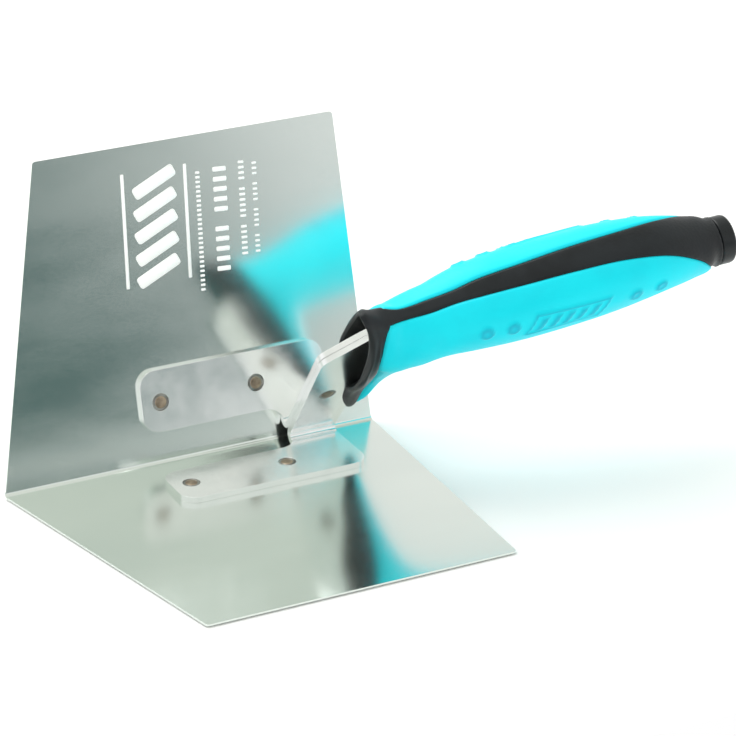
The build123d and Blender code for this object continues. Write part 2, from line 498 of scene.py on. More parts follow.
BLADE_STEEL = Finish(
    "ground_sheet", light=(0.80, 0.85, 0.81), dark=(0.76, 0.815, 0.78), metallic=1.0,
    rough=(0.15, 0.21), grain=2600.0, cloud=22.0, stretch=(0.35, 1.0, 1.0), bump=0.05,
    relief=0.00002,
)
PLATE_STEEL = Scratched(
    "pressed_plate", light=(0.97, 0.98, 0.97), dark=(0.90, 0.92, 0.91), metallic=1.0,
    rough=(0.2, 0.26), grain=2200.0, cloud=70.0, bump=0.03, relief=0.00002,
)
RIVET_RIM = Scratched(
    "rivet_rim", light=(0.42, 0.42, 0.39), dark=(0.16, 0.155, 0.14), metallic=1.0,
    rough=(0.28, 0.45), grain=2600.0, cloud=300.0, bump=0.25,
)
RIVET_CENTRE = Scratched(
    "rivet_centre", light=(0.47, 0.38, 0.28), dark=(0.26, 0.20, 0.15), metallic=1.0,
    rough=(0.32, 0.5), grain=2600.0, cloud=420.0, bump=0.3,
)
CORE_PLASTIC = Moulded(
    "moulded_core", light=(0.012, 0.0155, 0.0185), dark=(0.007, 0.009, 0.011),
    rough=(0.36, 0.48), grain=1700.0, cloud=90.0, bump=0.3, relief=0.00006, specular=0.3,
)
# Painted shade: a darker copy of the core plastic for the inside of the mouth.
MOUTH_PAINTED_SHADE = Finish(
    "mouth_painted_shade", light=(0.005, 0.007, 0.007), dark=(0.002, 0.003, 0.003),
    rough=(0.55, 0.7), grain=1500.0, cloud=90.0, bump=0.3, specular=0.2,
)
GRIP_RUBBER = Embossed(
    "soft_rubber", light=(0.0, 0.86, 1.0), dark=(0.0, 0.80, 0.95), rough=(0.42, 0.52),
    grain=1500.0, cloud=60.0, bump=0.12, relief=0.00005, specular=0.3,
)
CAP_PLASTIC = Finish(
    "smooth_cap", light=(0.010, 0.013, 0.015), dark=(0.006, 0.008, 0.010), rough=(0.26, 0.36),
    grain=1300.0, cloud=80.0, bump=0.12, specular=0.35,
)
# The etched marks carry a painted glow that makes them brighter.
ETCH = Finish(
    "etched_marks", light=(0.98, 1.0, 0.98), dark=(0.92, 0.95, 0.92), rough=(0.6, 0.75),
    grain=3000.0, cloud=120.0, bump=0.2, relief=0.00002, specular=0.3, painted_glow=0.3,
)


# ---- Blade and bracket ----


@dataclass(frozen=True)
class PressedPart:
    """A sheet-metal part taken from the CAD and given broken edges.

    Args:
        node: the CAD node.
        finish: its finish.
        slot: not used.
        edge: how far its edges are broken.
        segments: how many steps round a broken edge.
        draw_back: how far its face on the middle plane is drawn back.
    """

    node: str
    finish: Finish
    slot: Slot
    edge: float
    segments: int = 3
    draw_back: float = 0.0

    def build(self) -> bpy.types.Object:
        """Copies the part, joins its triangles and breaks its edges.

        Returns:
            The finished piece.
        """
        work = bmesh.new()
        work.from_mesh(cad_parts[self.node].data)
        bmesh.ops.remove_doubles(work, verts=work.verts, dist=1e-6)
        bmesh.ops.dissolve_limit(
            work, angle_limit=math.radians(0.4), verts=work.verts, edges=work.edges
        )
        self.part_face(work)
        sharp = [
            edge
            for edge in work.edges
            if len(edge.link_faces) == 2 and edge.calc_face_angle() > math.radians(35)
        ]
        bmesh.ops.bevel(
            work,
            geom=sharp,
            offset=self.edge * MM,
            offset_type="OFFSET",
            affect="EDGES",
            segments=self.segments,
            profile=0.5,
            material=-1,
            clamp_overlap=True,
        )
        piece = new_piece(
            self.node + "_made",
            work,
            [self.finish.build()],
            (self.node,),
            laid=True,
        )
        keep_flats(piece)
        return piece

    def part_face(self, work: bmesh.types.BMesh) -> None:
        """Draws the face on the middle plane back, which leaves a fine dark line.

        Args:
            work: the mesh of the part, in metres.
        """
        place = REST.matrix()
        to_tool = place.inverted()
        heights = {vert: (to_tool @ vert.co).y for vert in work.verts}
        side = 1.0 if sum(heights.values()) > 0.0 else -1.0
        step = place.to_3x3() @ Vector((0.0, side * self.draw_back, 0.0))
        mating = [vert for vert, y in heights.items() if abs(y) < 0.05]
        bmesh.ops.translate(work, vec=step, verts=mating)


@dataclass
class Rivet:
    """A flush rivet with a dished ring round a worn centre.

    Args:
        node: the CAD node it stands for.
        foot: the far end of its axis, in tool millimetres.
        axes: a turn whose z is its axis.
        length: its length.
        both_ends: True where both ends are formed heads.
        radius: its radius.
        centre: radius of the worn centre.
    """

    node: str
    foot: Vector
    axes: Matrix
    length: float
    both_ends: bool = False
    radius: float = 2.8
    centre: float = 1.95

    def profile(self) -> list[tuple[float, float]]:
        """Gives the profile from the foot's centre to the head's centre.

        Returns:
            Points of radius and height.
        """
        head = [
            (0.0, 0.13), (0.9, 0.12), (1.6, 0.07), (self.centre, -0.03), (2.08, -0.17),
            (2.22, -0.19), (2.34, -0.06), (2.52, 0.0), (2.68, -0.06), (self.radius, -0.22),
        ]
        if self.both_ends:
            foot = [(radius, -rise) for radius, rise in head]
        else:
            foot = [(0.0, 0.0), (2.6, 0.0), (self.radius - 0.05, 0.08), (self.radius, 0.2)]
        return foot + [(radius, self.length + rise) for radius, rise in reversed(head)]

    def build(self) -> bpy.types.Object:
        """Turns the rivet and sets it in its hole.

        Returns:
            The finished piece.
        """
        body = turned(self.profile(), 48)
        for face in body.faces:
            middle = face.calc_center_median()
            if math.hypot(middle.x, middle.y) < self.centre:
                face.material_index = 1
        bmesh.ops.transform(
            body, matrix=Matrix.Translation(self.foot) @ self.axes, verts=body.verts
        )
        finishes = [RIVET_RIM.build(), RIVET_CENTRE.build()]
        return new_piece(self.node + "_made", body, finishes, (self.node,))


@dataclass
class Bracket:
    """The riveted two-plate bracket.

    Args:
        rivets_x: how far back the flange rivets stand.
        rivet_up: how far up the wing they stand.
        sheet: thickness of the blade.
        plate: thickness of a plate.
        tang_rivet: place of the tang rivet in the middle plane.
    """

    rivets_x: tuple[float, float] = (54.0, 87.0)
    rivet_up: float = 20.5
    sheet: float = 0.6
    plate: float = 2.0
    tang_rivet: tuple[float, float] = (101.0, 31.0)

    def build(self) -> None:
        """Builds both plates and the five rivets."""
        for node in ("bracket_left", "bracket_right"):
            PressedPart(node, PLATE_STEEL, Slot.PLATE, edge=0.32, draw_back=0.07).build()
        length = self.sheet + self.plate
        for side, name in ((1, "left"), (-1, "right")):
            for x, end in zip(self.rivets_x, ("front", "rear")):
                foot = REST.wing(side, x, self.rivet_up, 0.0)
                node = f"rivet_{name}_{end}"
                Rivet(node, foot, REST.wing_axes(side), length).build()
        x, z = self.tang_rivet
        across = Matrix.Rotation(math.radians(90.0), 4, "X")
        foot = Vector((x, self.plate, z))
        Rivet("rivet_tang", foot, across, 2.0 * self.plate, both_ends=True).build()


@dataclass(frozen=True)
class MarkRow:
    """One row of etched bars that runs up the wing.

    Args:
        along: its place along the fold at mid height.
        span: where it starts and ends up the wing.
        bar: size of a bar along the fold and up the wing.
        count: number of bars.
        skip: one bar in this many is left out.
    """

    along: float
    span: tuple[float, float]
    bar: tuple[float, float]
    count: int
    skip: int = 99


@dataclass
class BladeMarks:
    """Etched marks on the left wing: an emblem of slanted bars and rows of bars.

    Args:
        rows: the rows of bars.
        sheet: thickness of the blade.
        proud: how far the marks stand above the steel.
        slant: how far the rows drift back for each millimetre up.
        middle_up: height of the marks' middle up the wing.
        emblem: place of the emblem along the fold.
        emblem_bar: size of one of the emblem's slanted bars.
        emblem_pitch: distance between them.
        emblem_lean_deg: how far they slant.
        side_bar: size of the thin bar at each side of the emblem.
        side_step: how far the thin bars stand from its middle.
        wing_side: the wing that the marks are on, 1 for the left.
    """

    rows: tuple[MarkRow, ...] = (
        MarkRow(74.8, (53.0, 90.0), (1.5, 0.75), 26),
        MarkRow(82.3, (58.5, 90.0), (4.6, 1.5), 11, 6),
        MarkRow(89.8, (62.0, 91.0), (2.0, 0.8), 18, 7),
        MarkRow(94.3, (62.0, 90.0), (1.6, 0.7), 18, 5),
    )
    sheet: float = 0.6
    proud: float = 0.02
    slant: float = 0.06
    middle_up: float = 75.5
    emblem: float = 60.0
    emblem_bar: tuple[float, float] = (15.5, 4.0)
    emblem_pitch: float = 7.0
    emblem_lean_deg: float = 24.0
    side_bar: tuple[float, float] = (1.1, 36.0)
    side_step: float = 10.6
    wing_side: int = 1

    def bar(
        self,
        work: bmesh.types.BMesh,
        middle: tuple[float, float],
        size: tuple[float, float],
        lean_deg: float,
    ) -> None:
        """Adds one thin bar with rounded corners.

        Args:
            work: the mesh to add it to.
            middle: its place along the fold and up the wing.
            size: its size along the fold and up the wing.
            lean_deg: its turn in the wing's plane.
        """
        before = set(work.verts)
        made = bmesh.ops.create_grid(work, x_segments=1, y_segments=1, size=0.5)
        corners = made["verts"]
        bmesh.ops.scale(work, vec=(*size, 1.0), verts=corners)
        bmesh.ops.bevel(
            work,
            geom=corners,
            offset=min(size) * 0.22,
            offset_type="OFFSET",
            affect="VERTICES",
            segments=2,
            profile=0.5,
            material=-1,
        )
        added = [vert for vert in work.verts if vert not in before]
        lean = Matrix.Rotation(math.radians(lean_deg), 4, "Z")
        at = REST.wing(self.wing_side, *middle, self.sheet + self.proud)
        place = Matrix.Translation(at) @ REST.wing_axes(self.wing_side) @ lean
        bmesh.ops.transform(work, matrix=place, verts=added)

    def drift(self, along: float, up: float) -> float:
        """Gives a place along the fold moved with the rows' slant."""
        return along + self.slant * (up - self.middle_up)

    def build(self) -> bpy.types.Object:
        """Lays out the marks.

        Returns:
            The finished piece.
        """
        work = bmesh.new()
        lean_deg = math.degrees(math.atan(-self.slant))
        for number in range(-2, 3):
            up = self.middle_up + self.emblem_pitch * number
            at = (self.drift(self.emblem, up), up)
            self.bar(work, at, self.emblem_bar, self.emblem_lean_deg)
        for side in (-1, 1):
            at = (self.emblem + side * self.side_step, self.middle_up)
            self.bar(work, at, self.side_bar, lean_deg)
        for row in self.rows:
            low, high = row.span
            for number in range(row.count):
                if number % row.skip == row.skip - 1:
                    continue
                up = low + (high - low) * number / (row.count - 1)
                self.bar(work, (self.drift(row.along, up), up), row.bar, lean_deg)
        plates = bmesh.ops.extrude_face_region(work, geom=work.faces[:])
        risen = [item for item in plates["geom"] if isinstance(item, bmesh.types.BMVert)]
        inwards = REST.wing_axes(self.wing_side) @ Vector((0.0, 0.0, 1.0))
        bmesh.ops.translate(work, vec=inwards * -self.proud, verts=risen)
        bmesh.ops.recalc_face_normals(work, faces=work.faces)
        return new_piece("blade_marks", work, [ETCH.build()])


# ---- Handle ----

Ring = tuple[tuple[float, float, float], ...]


@dataclass
class HandleForm:
    """The outer form of the handle as one smooth sheet.

    A ring is half a loop from the top line to the bottom line. Its second
    point is the edge of the black stripe. The rings start at the rim of the
    mouth, run down over the guard and back along the handle.

    Args:
        nose: the rings of the hood, the nose and the guard.
        stations: x, middle z, half height and half width along the handle.
        stripe: x and the angle above level of the stripe's edge.
        seam_ring: number of the ring where the soft grip begins.
        squareness: 2 for oval rings, and more for squarer ones.
        butt_tilt_deg: how far the butt end leans back.
        tilt_from: x where the rings begin to lean.
        butt_x: x of the butt end.
        pitch: distance between sampled rings along the handle.
        around: sample places round a ring, as part and share.
        steps: sample places along, as ring and share of the way to the next.
    """

    nose: tuple[Ring, ...]
    stations: tuple[tuple[float, float, float, float], ...]
    stripe: tuple[tuple[float, float], ...]
    seam_ring: int = 5
    squareness: float = 2.2
    butt_tilt_deg: float = 6.0
    tilt_from: float = 190.0
    butt_x: float = 221.6
    pitch: float = 0.7
    around: list[tuple[int, float]] = field(default_factory=list)
    steps: list[tuple[int, float]] = field(default_factory=list)

    def __post_init__(self) -> None:
        """Sets the sample places round and along the handle."""
        stripe = [i / 10 for i in range(10)] + [0.94, 0.98]
        side = [0.0, 0.006, 0.016, 0.03, 0.048] + [0.068 + 0.932 * i / 66 for i in range(67)]
        self.around = [(0, share) for share in stripe] + [(1, share) for share in side]
        self.steps = [(k, i / 4) for k in range(4) for i in range(4)]
        self.steps += [(4, share) for share in (0.0, 0.3, 0.6, 0.82, 0.94)]
        self.steps += [(5, share) for share in (0.0, 0.07, 0.18, 0.36, 0.58, 0.8)]
        tail = [4, 4, 5, 9] + [self.cells(k) for k in range(len(self.stations) - 1)]
        self.steps += [(6 + k, i / n) for k, n in enumerate(tail) for i in range(n)]
        self.steps.append((5 + len(tail), 1.0))

    def cells(self, number: int) -> int:
        """Gives how many rings are sampled from one station to the next."""
        length = self.stations[number + 1][0] - self.stations[number][0]
        return max(3, round(length / self.pitch))

    def stripe_angle(self, x: float) -> float:
        """Gives the angle of the stripe's edge at x, in radians."""
        places = [row[0] for row in self.stripe]
        return math.radians(float(np.interp(x, places, [row[1] for row in self.stripe])))

    def nose_ring(self, ring: Ring) -> np.ndarray:
        """Samples a nose ring with a smooth line through its points.

        Args:
            ring: the ring's points from the top to the bottom.

        Returns:
            One row of x, y and z for each place round.
        """
        points = np.array(ring, float)
        mirror = np.array([1.0, -1.0, 1.0])
        points = np.vstack([points[1] * mirror, points, points[-2] * mirror])
        last = len(ring) - 1
        rows = []
        for part, share in self.around:
            at = share if part == 0 else 1.0 + share * (last - 1)
            k = min(int(at), last - 1)
            rows.append(hermite(points, k + 1, at - k))
        return np.array(rows)

    def body_ring(self, x: float, middle: float, high: float, wide: float) -> np.ndarray:
        """Samples a rounded ring of the handle.

        Args:
            x: the ring's place along the handle.
            middle: the z of its middle.
            high: its half height.
            wide: its half width.

        Returns:
            One row of x, y and z for each place round.
        """
        edge = self.stripe_angle(x)
        reach = min(max((x - self.tilt_from) / (self.butt_x - self.tilt_from), 0.0), 1.0)
        tilt = math.tan(math.radians(self.butt_tilt_deg)) * reach
        rows = []
        for part, share in self.around:
            top = math.pi / 2
            angle = top - share * (top - edge) if part == 0 else edge - share * (edge + top)
            power = 2.0 / self.squareness
            across = wide * abs(math.cos(angle)) ** power
            up = high * abs(math.sin(angle)) ** power * (1 if angle > 0 else -1)
            rows.append((x - up * tilt, across, middle + up))
        return np.array(rows)

    def sheet(self) -> np.ndarray:
        """Samples the half form.

        Returns:
            An array of rings by places round by x, y and z.
        """
        keys = [self.nose_ring(ring) for ring in self.nose]
        keys += [self.body_ring(*station) for station in self.stations]
        stack = np.array(keys)
        first = 2 * stack[0] - stack[1]
        last = 2 * stack[-1] - stack[-2]
        stack = np.concatenate([first[None], stack, last[None]])
        return np.array([hermite(stack, k + 1, share) for k, share in self.steps])


def hermite(points: np.ndarray, k: int, share: float) -> np.ndarray:
    """Gives a place between points k and k + 1 on a smooth line.

    Args:
        points: the points, or arrays of points, in order.
        k: number of the point before the place.
        share: how far the place is towards the next point.

    Returns:
        The place.
    """
    before, start, end, after = points[k - 1], points[k], points[k + 1], points[k + 2]

    def gap(first: np.ndarray, second: np.ndarray) -> np.ndarray:
        """Gives the square root of the distance, kept above nought."""
        size = np.linalg.norm(second - first, axis=-1, keepdims=True)
        return np.sqrt(np.maximum(size, 1e-6))

    d0, d1, d2 = gap(before, start), gap(start, end), gap(end, after)
    m1 = (start - before) / d0 - (end - before) / (d0 + d1) + (end - start) / d1
    m2 = (end - start) / d1 - (after - start) / (d1 + d2) + (after - end) / d2
    m1, m2 = m1 * d1, m2 * d1
    t = share
    return (
        (2 * t**3 - 3 * t**2 + 1) * start
        + (t**3 - 2 * t**2 + t) * m1
        + (3 * t**2 - 2 * t**3) * end
        + (t**3 - t**2) * m2
    )


@dataclass
class Relief:
    """Raised marks on the side of the grip: round pips and a plain emblem.

    Args:
        pips: x and z of each round pip.
        pip_radius: radius of a pip.
        pip_height: how far a pip stands up.
        mark_height: how far the emblem stands up.
        middle: x and z of the emblem's middle.
        half_size: half of the emblem's length and height.
        rise: how steeply the emblem runs up the handle.
        lean: how far its bars lean for each millimetre up.
        bar: half width, half height and pitch of its bars.
    """

    pips: tuple[tuple[float, float], ...] = (
        (137.8, 75.0), (146.2, 76.6), (187.6, 82.6), (196.9, 83.3),
    )
    pip_radius: float = 2.3
    pip_height: float = 0.6
    mark_height: float = 0.5
    middle: tuple[float, float] = (164.5, 78.5)
    half_size: tuple[float, float] = (12.6, 3.9)
    rise: float = 0.135
    lean: float = 0.35
    bar: tuple[float, float, float] = (1.0, 2.3, 4.4)

    def height(self, x: np.ndarray, z: np.ndarray) -> np.ndarray:
        """Gives how far the surface stands up at x and z.

        Args:
            x: places along the handle.
            z: heights.

        Returns:
            The relief in millimetres.
        """
        total = np.zeros_like(x)
        for px, pz in self.pips:
            away = np.hypot(x - px, z - pz)
            edge = 1.0 - smoothstep(away, self.pip_radius - 0.55, self.pip_radius + 0.25)
            dish = 0.55 * (1.0 - smoothstep(away, 0.0, self.pip_radius - 0.4))
            total += self.pip_height * (edge - dish)
        up = z - self.middle[1] - (x - self.middle[0]) * self.rise
        along = x - self.middle[0] - self.lean * up
        outline = np.maximum(np.abs(along) - self.half_size[0], np.abs(up) - self.half_size[1])
        nearest = np.abs(outline + 0.3) - 0.35
        wide, high, pitch = self.bar
        for number in range(-2, 3):
            bar = np.abs(along - pitch * number) - wide
            nearest = np.minimum(nearest, np.maximum(bar, np.abs(up) - high))
        return total + self.mark_height * (1.0 - smoothstep(nearest, -0.3, 0.45))


@dataclass
class Handle:
    """The black core with its hooded mouth, the cyan grip and the butt cap.

    Args:
        form: the outer form.
        relief: raised marks on the grip.
        groove: depth of the groove between the two colours.
        groove_width: how far the groove reaches.
        skin: thickness of the soft grip.
        lap: room between the soft grip and the core under it.
        mouth: how far in and back each ring of the mouth lies from the rim.
        merge: distances from the middle plane between which the raised marks fade in.
    """

    form: HandleForm
    relief: Relief = field(default_factory=Relief)
    groove: float = 0.5
    groove_width: float = 0.42
    skin: float = 0.85
    lap: float = 0.15
    mouth: tuple[tuple[float, float], ...] = ((0.55, -0.05), (1.05, 0.5), (1.9, 2.2), (3.8, 6.0))
    merge: tuple[float, float] = (6.0, 9.0)

    def __post_init__(self) -> None:
        """Samples the form and finds where the colours meet."""
        self.sheet = self.form.sheet()
        self.normals = outward(self.sheet)
        self.row = self.form.steps.index((self.form.seam_ring, 0.0))
        self.column = self.form.around.index((1, 0.0))

    def build(self) -> None:
        """Builds the three pieces."""
        self.build_core()
        self.build_grip()
        self.build_cap()

    def groove_depth(self) -> np.ndarray:
        """Gives how deep the groove between the colours is at each point."""
        sheet, row, column = self.sheet, self.row, self.column
        down = np.linalg.norm(sheet - sheet[row][None], axis=2)
        across = np.linalg.norm(sheet - sheet[:, column][:, None], axis=2)
        down[:, :column] = math.inf
        across[:row] = math.inf
        corner = np.linalg.norm(sheet - sheet[row, column], axis=2)
        near = np.minimum(np.minimum(down, across), corner)
        return self.groove * np.exp(-((near / self.groove_width) ** 2))

    def build_core(self) -> bpy.types.Object:
        """Builds the black core with the mouth hollowed in its nose, its inner walls in a darker
        painted shade.

        Returns:
            The finished piece.
        """
        depth = self.groove_depth()
        depth[self.row + 1 :, self.column + 1 :] = self.skin + self.lap
        outer = self.sheet - self.normals * depth[:, :, None]
        outer[:, [0, -1], 1] = 0.0
        inner = [inset_loop(outer[0], wall, back) for wall, back in reversed(self.mouth)]
        floor = inner[0] * (1.0, 0.0, 1.0) + (0.4, 0.0, 0.0)
        middle = outer[-1][[0, -1]].mean(axis=0)
        stub = middle + (outer[-1] - middle) * 0.6
        rings = np.array([floor, *inner, *outer, stub])
        # The mouth's inner rows take the second finish, a painted shade in the recess.
        work = bend_sheet(rings, inner_rows=len(inner) - 1)
        open_edges = [edge for edge in work.edges if edge.is_boundary]
        bmesh.ops.holes_fill(work, edges=open_edges, sides=0)
        bmesh.ops.recalc_face_normals(work, faces=work.faces)
        finishes = [CORE_PLASTIC.build(), MOUTH_PAINTED_SHADE.build()]
        return new_piece("handle_core_made", work, finishes, ("handle_core",))

    def raised(self, places: np.ndarray) -> np.ndarray:
        """Gives how far the marks on the grip's sides stand up at some places."""
        height = self.relief.height(places[..., 0], places[..., 2])
        return height * smoothstep(np.abs(places[..., 1]), *self.merge)

    def build_grip(self) -> bpy.types.Object:
        """Builds the cyan grip as a wall with rounded lips and raised marks.

        Returns:
            The finished piece.
        """
        depth = self.groove_depth() - self.raised(self.sheet)
        outer = (self.sheet - self.normals * depth[:, :, None])[self.row :, self.column :]
        outer[:, -1, 1] = 0.0
        work = bend_sheet(outer)
        bmesh.ops.recalc_face_normals(work, faces=work.faces)
        widest = max(work.faces, key=lambda face: face.calc_center_median().y)
        if widest.normal.y < 0:
            bmesh.ops.reverse_faces(work, faces=work.faces)
        # Store how raised each place is; the grip finish paints shade on the raised marks from
        # it.
        shares = self.raised(np.array([vert.co for vert in work.verts]))
        painted_shade_layer = work.verts.layers.float.new(GRIP_RUBBER.share_name)
        for vert, share in zip(work.verts, shares / self.relief.mark_height):
            vert[painted_shade_layer] = min(float(share), 1.0)
        finishes = [GRIP_RUBBER.build()]
        piece = new_piece("soft_grip_made", work, finishes, ("soft_grip",))
        wall = piece.modifiers.new("wall", "SOLIDIFY")
        wall.thickness = self.skin * MM
        wall.offset = -1.0
        return piece

    def build_cap(self) -> bpy.types.Object:
        """Turns the butt cap and sets it on the handle's end.

        Returns:
            The finished piece.
        """
        profile = [
            (0.0, -6.0), (4.4, -6.0), (4.4, -0.4), (6.9, -0.4), (6.9, 0.35), (7.45, 0.45),
            (7.75, 0.7), (7.8, 1.1), (7.8, 4.3), (7.65, 4.95), (7.25, 5.28), (6.7, 5.38),
            (5.9, 5.38), (5.6, 5.25), (5.4, 5.0), (0.0, 4.85),
        ]
        body = turned(profile, 96)
        lean = Matrix.Rotation(math.radians(90.0 - self.form.butt_tilt_deg), 4, "Y")
        set_on = Matrix.Translation((self.form.butt_x, 0.0, self.form.stations[-1][1])) @ lean
        bmesh.ops.transform(body, matrix=set_on, verts=body.verts)
        finishes = [CAP_PLASTIC.build()]
        piece = new_piece("butt_cap_made", body, finishes, ("butt_cap",))
        keep_flats(piece, 60.0)
        return piece


def outward(sheet: np.ndarray) -> np.ndarray:
    """Gives the outward direction at each point of the half form.

    Args:
        sheet: rings by places round by x, y and z.

    Returns:
        Unit directions in the same layout.
    """
    along = np.gradient(sheet, axis=0)
    mirror = np.array([1.0, -1.0, 1.0])
    wide = np.concatenate([sheet[:, 1:2] * mirror, sheet, sheet[:, -2:-1] * mirror], axis=1)
    round_way = wide[:, 2:] - wide[:, :-2]
    normal = np.cross(along, round_way)
    normal /= np.maximum(np.linalg.norm(normal, axis=2, keepdims=True), 1e-9)
    widest = np.unravel_index(np.argmax(sheet[:, :, 1]), sheet.shape[:2])
    return normal if normal[widest][1] > 0 else -normal


def inset_loop(rim: np.ndarray, wall: float, back: float) -> np.ndarray:
    """Moves a half loop inwards and back.

    Args:
        rim: the half loop from the top to the bottom.
        wall: how far it moves in.
        back: how far it moves back.

    Returns:
        The moved half loop.
    """
    mirror = np.array([1.0, -1.0, 1.0])
    wide = np.vstack([rim[1] * mirror, rim, rim[-2] * mirror])
    run = wide[2:] - wide[:-2]
    inwards = np.stack([np.zeros(len(run)), run[:, 2], -run[:, 1]], axis=1)
    inwards /= np.maximum(np.linalg.norm(inwards, axis=1, keepdims=True), 1e-9)
    if inwards[len(run) // 2][1] > 0:
        inwards = -inwards
    moved = rim + inwards * wall + np.array([back, 0.0, 0.0])
    moved[:, 1] = np.maximum(moved[:, 1], 0.0)
    return moved


NOSE_RINGS: tuple[Ring, ...] = (
    (
        (98.3, 0, 78.1), (99, 2, 77), (100.4, 3.8, 74.6), (101.7, 5.4, 70.4),
        (102.6, 6.7, 65.6), (103.2, 7.5, 60.4), (103.6, 8.1, 54.4), (104, 8.2, 48.6),
        (104.4, 7.4, 43.6), (105.6, 5.4, 38), (106.6, 2.9, 33.8), (106.8, 0, 32.4),
    ),
    (
        (99.8, 0, 78.3), (100.5, 2.3, 77), (101.6, 4.2, 74.4), (103.1, 5.9, 70.8),
        (103.9, 7.5, 66.2), (104.4, 8.7, 60.6), (104.8, 9.2, 54.4), (105.6, 8.9, 48.2),
        (106.5, 7.6, 42.4), (107.3, 5.3, 36.4), (107, 2.7, 31.2), (106, 0, 29.8),
    ),
    (
        (102.2, 0, 77.4), (102.6, 2.6, 76.2), (103.6, 4, 73.6), (104.6, 5.5, 70.6),
        (105, 7.3, 66.2), (105.3, 8.7, 60.6), (105.9, 8.9, 53.2), (107.7, 7.9, 46.4),
        (109.6, 5.9, 39.8), (109.9, 3.9, 33.4), (108.4, 2.9, 26.6), (107, 0, 25.4),
    ),
    (
        (105.6, 0, 75.8), (105.6, 3, 75), (105.6, 4.6, 72.2), (105.9, 6.2, 68.9),
        (106.1, 7.9, 65.2), (106.6, 8.9, 59.8), (107.6, 8.7, 53.6), (109.5, 7.2, 48),
        (111.3, 5.2, 40.4), (112.1, 3.3, 30.6), (111.6, 2.7, 20.6), (111, 0, 17.6),
    ),
    (
        (107.2, 0, 75.3), (107.1, 3.2, 74.6), (106.6, 4.8, 71.6), (106.5, 6.3, 68.3),
        (106.7, 7.8, 64.4), (107.2, 8.7, 59.4), (108.4, 8.4, 53.8), (110.4, 6.7, 48.8),
        (112.2, 4.8, 40.8), (113, 2.9, 30.2), (113.2, 2.5, 20), (114.4, 0, 14.8),
    ),
    (
        (108.6, 0, 75), (108.6, 3.3, 74.4), (107.6, 5, 71.6), (107.3, 6.5, 68),
        (107.4, 7.9, 64), (107.9, 8.5, 59), (109.2, 8, 54), (111.2, 6.2, 49.5),
        (113.1, 4.3, 41), (114, 2.6, 30.6), (114.2, 2.4, 21.8), (116, 0, 16.6),
    ),
    (
        (110.8, 0, 74.6), (110.9, 2.7, 74.2), (110.2, 5.6, 71.6), (109.9, 7.5, 68.2),
        (110.2, 8.9, 64), (110.8, 9.6, 59.2), (111.9, 9.2, 54.6), (113.4, 7.4, 49.6),
        (114.8, 5, 41.6), (115.9, 3.2, 31.5), (116, 2.6, 24), (117.3, 0, 20.6),
    ),
    (
        (113.5, 0, 74.4), (113.5, 2.3, 74.1), (113.2, 5.6, 71), (113.2, 8.2, 67.4),
        (113.5, 9.8, 63.2), (114.2, 10.4, 58.8), (115.2, 9.7, 54.6), (116.2, 7.9, 50.2),
        (117.2, 5.6, 44), (117.5, 3.8, 37.6), (117.4, 2.4, 31.8), (117.3, 0, 28.5),
    ),
    (
        (117.5, 0, 75), (117.5, 2.2, 74.8), (117.5, 6.2, 72.3), (117.6, 9.2, 68.4),
        (117.8, 10.6, 64), (118.1, 10.8, 60), (118.6, 10, 56), (119.2, 8.4, 52.4),
        (119.5, 6.6, 48.8), (119.5, 4.8, 45.2), (119.2, 2.6, 41.8), (119, 0, 40),
    ),
    (
        (122, 0, 76.3), (122, 2.4, 76.1), (122, 6.8, 73.8), (122, 9.8, 70),
        (122, 11, 65.6), (122.1, 11.2, 61.4), (122.3, 10.6, 57.8), (122.5, 9.2, 55),
        (122.6, 7.4, 53), (122.6, 5.4, 51.4), (122.6, 2.8, 50.4), (122.6, 0, 50.1),
    ),
)
STATIONS = (
    (130.0, 67.2, 12.2, 12.2), (138.0, 69.9, 12.7, 13.5), (152.0, 72.7, 13.3, 14.5),
    (168.0, 75.6, 14.3, 14.4), (184.0, 78.5, 13.9, 13.8), (200.0, 80.8, 12.2, 12.0),
    (212.0, 81.1, 10.0, 9.9), (218.0, 81.3, 8.6, 8.6), (221.6, 81.4, 7.9, 7.9),
)
STRIPE = (
    (130.0, 80.6), (142.0, 77.6), (156.0, 76.8), (169.0, 73.9), (184.0, 70.5), (191.0, 67.4),
    (196.0, 63.5), (200.0, 58.5), (205.0, 50.5), (209.9, 40.3), (214.0, 26.0), (217.3, 8.0),
    (219.5, -18.0), (221.0, -50.0), (221.6, -84.0),
)


# ---- Studio ----


